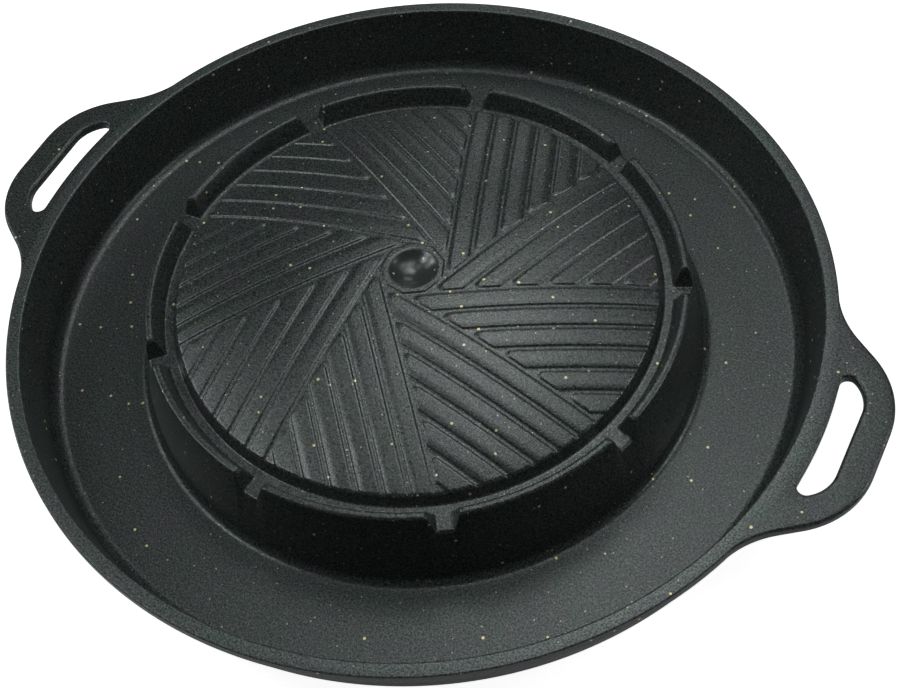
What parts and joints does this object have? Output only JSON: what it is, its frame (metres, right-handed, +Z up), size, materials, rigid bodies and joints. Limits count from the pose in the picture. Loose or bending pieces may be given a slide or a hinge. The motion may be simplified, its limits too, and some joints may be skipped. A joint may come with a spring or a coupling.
{
  "type": "stovetop grill pan",
  "caption": "Round cast pan with a domed, grooved grill plate on a raised turret, a gutter with drain notches, a soup moat round it, a flat rim and two looped handles.",
  "frame": {"origin": "on the pan's axis, at the flat underside that rests on the stove", "axes": "+Z up along the pan's axis, X through both handles with handle_right at +X, Y across"},
  "size_m": [0.414, 0.36, 0.0508],
  "materials": {
    "coated_casting": "matt charcoal non-stick coating with a fine speckle"
  },
  "bodies": {
    "root": {"basin": "coated_casting", "drain_turret": "coated_casting", "grill_plate": "coated_casting", "handle_left": "coated_casting", "handle_right": "coated_casting"}
  },
  "joints": []
}
